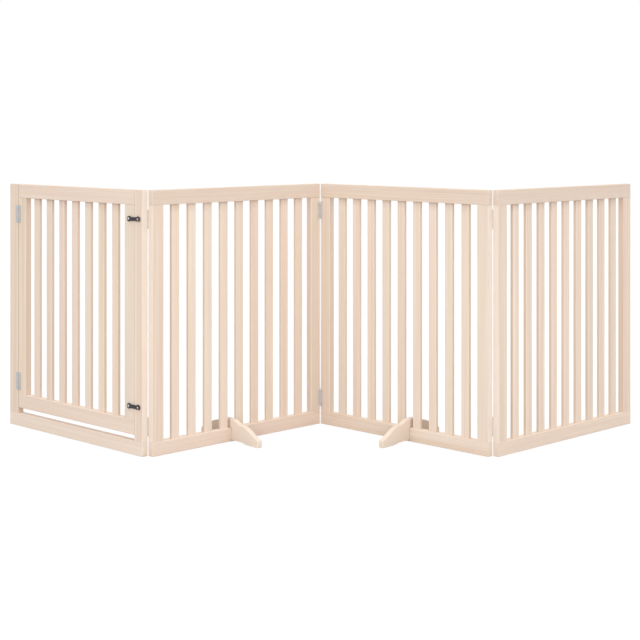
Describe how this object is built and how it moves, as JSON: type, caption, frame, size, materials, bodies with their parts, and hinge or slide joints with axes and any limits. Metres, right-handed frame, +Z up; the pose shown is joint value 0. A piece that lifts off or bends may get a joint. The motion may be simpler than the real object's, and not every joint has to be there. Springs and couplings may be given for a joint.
{
  "type": "folding pet gate",
  "caption": "Freestanding zigzag pet gate of hinged slatted softwood panels, with a latched door in the end panel and slip-on support feet.",
  "frame": {"origin": "on the floor, under the centre of the bounding box of the gate as it stands in its zigzag", "axes": "+X along the gate to the right as seen from the front, +Y towards the back, +Z up"},
  "size_m": [1.8106, 0.4224, 0.7],
  "materials": {
    "pine_frame": "planed, unfinished",
    "pine_slats": "planed, unfinished",
    "pine_feet": "sanded, unfinished",
    "hinge_steel": "zinc plated, satin",
    "latch_metal": "black, satin",
    "screw_steel": "bright"
  },
  "bodies": {
    "panel_2": {"panel_2_top_rail": "pine_frame", "panel_2_bottom_rail": "pine_frame", "panel_2_stile_left": "pine_frame", "panel_2_stile_right": "pine_frame", "panel_2_slats": "pine_slats", "hinge_12_upper_leaf": "hinge_steel", "hinge_12_lower_leaf": "hinge_steel", "hinge_23_upper_leaf": "hinge_steel", "hinge_23_lower_leaf": "hinge_steel"},
    "panel_3": {"panel_3_top_rail": "pine_frame", "panel_3_bottom_rail": "pine_frame", "panel_3_stile_left": "pine_frame", "panel_3_stile_right": "pine_frame", "panel_3_slats": "pine_slats", "hinge_23_upper_pin_leaf": "hinge_steel", "hinge_23_lower_pin_leaf": "hinge_steel", "hinge_34_upper_pin_leaf": "hinge_steel", "hinge_34_lower_pin_leaf": "hinge_steel"},
    "panel_4": {"panel_4_top_rail": "pine_frame", "panel_4_bottom_rail": "pine_frame", "panel_4_stile_left": "pine_frame", "panel_4_stile_right": "pine_frame", "panel_4_slats": "pine_slats", "hinge_34_upper_leaf": "hinge_steel", "hinge_34_lower_leaf": "hinge_steel"},
    "door_frame": {"frame_bottom_rail": "pine_frame", "frame_post_left": "pine_frame", "frame_post_right": "pine_frame", "hinge_12_upper_pin_leaf": "hinge_steel", "hinge_12_lower_pin_leaf": "hinge_steel", "door_hinge_upper_leaf": "hinge_steel", "door_hinge_lower_leaf": "hinge_steel", "latch_upper_catch_stud": "screw_steel", "latch_lower_catch_stud": "screw_steel"},
    "door": {"door_top_rail": "pine_frame", "door_bottom_rail": "pine_frame", "door_hinge_stile": "pine_frame", "door_latch_stile": "pine_frame", "door_slat_1": "pine_slats", "door_slat_2": "pine_slats", "door_slat_3": "pine_slats", "door_slat_4": "pine_slats", "door_slat_5": "pine_slats", "door_slat_6": "pine_slats", "door_slat_7": "pine_slats", "door_hinge_upper_pin_leaf": "hinge_steel", "door_hinge_lower_pin_leaf": "hinge_steel", "latch_upper_pivot_screw": "screw_steel", "latch_lower_pivot_screw": "screw_steel"},
    "latch_upper": {"latch_upper_bar": "latch_metal"},
    "latch_lower": {"latch_lower_bar": "latch_metal"},
    "foot_left": {"foot_left": "pine_feet"},
    "foot_right": {"foot_right": "pine_feet"}
  },
  "joints": [
    {"name": "fold_12", "type": "hinge", "parent": "panel_2", "child": "door_frame", "pos_m": [-0.45317, -0.19749, 0.35], "axis": [0, 0, 1], "range_deg": [-69, 86]},
    {"name": "fold_23", "type": "hinge", "parent": "panel_2", "child": "panel_3", "pos_m": [0, 0.19749, 0.35], "axis": [0, 0, 1], "range_deg": [-52, 86]},
    {"name": "fold_34", "type": "hinge", "parent": "panel_3", "child": "panel_4", "pos_m": [0.45317, -0.19749, 0.35], "axis": [0, 0, 1], "range_deg": [-86, 69]},
    {"name": "door_swing", "type": "hinge", "parent": "door_frame", "child": "door", "pos_m": [-0.87497, 0.16823, 0.35], "axis": [0, 0, -1], "range_deg": [0, 120]},
    {"name": "latch_upper_turn", "type": "hinge", "parent": "door", "child": "latch_upper", "pos_m": [-0.50452, -0.17572, 0.623], "axis": [-0.682, -0.7314, 0], "range_deg": [0, 110]},
    {"name": "latch_lower_turn", "type": "hinge", "parent": "door", "child": "latch_lower", "pos_m": [-0.50452, -0.17572, 0.128], "axis": [-0.682, -0.7314, 0], "range_deg": [0, 110]},
    {"name": "foot_left_lift", "type": "slide", "parent": "panel_2", "child": "foot_left", "axis": [0, 0, 1], "range_m": [0, 0.05]},
    {"name": "foot_right_lift", "type": "slide", "parent": "panel_3", "child": "foot_right", "axis": [0, 0, 1], "range_m": [0, 0.05]}
  ]
}
